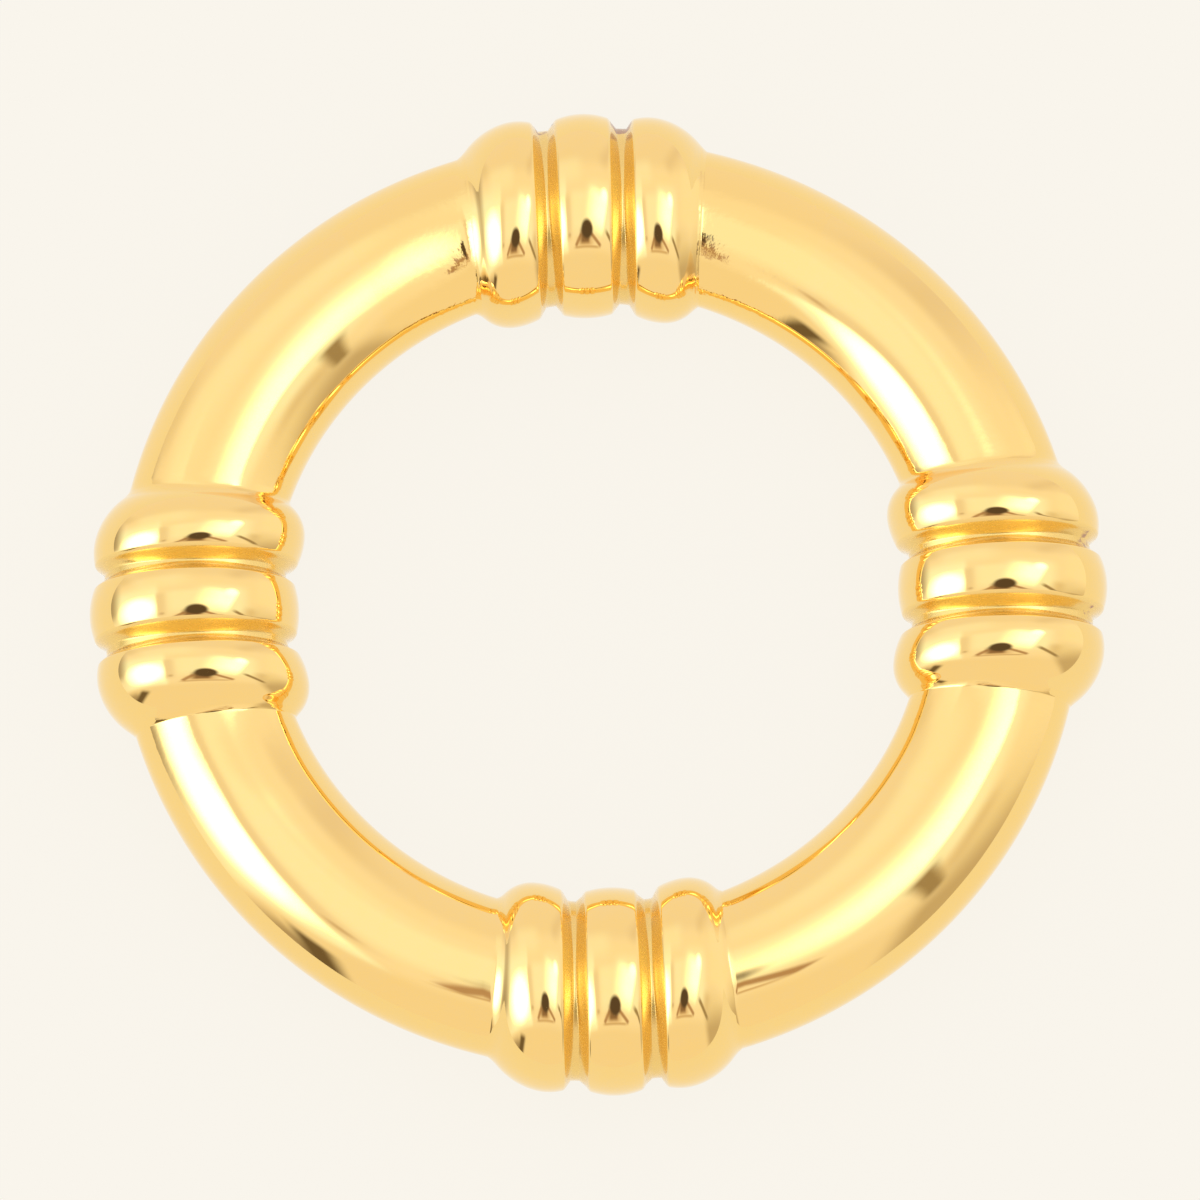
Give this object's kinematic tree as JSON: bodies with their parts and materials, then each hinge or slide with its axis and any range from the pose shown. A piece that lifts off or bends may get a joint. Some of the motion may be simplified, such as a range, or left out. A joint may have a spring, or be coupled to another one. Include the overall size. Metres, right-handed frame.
{
  "type": "scarf ring",
  "caption": "Polished flattened ring with clusters of raised bands, through which the two ends of a folded scarf are drawn and held.",
  "frame": {"origin": "the ring's centre, midway between its two faces", "axes": "+Z along the ring's axis, out of the face that shows; +X and +Y each through the middle of a cluster of bands"},
  "size_m": [0.05, 0.05, 0.0082],
  "materials": {
    "gold_plate": "mirror-polished gold plate with fine hairlines"
  },
  "bodies": {
    "root": {"ring_casting": "gold_plate"}
  },
  "joints": []
}
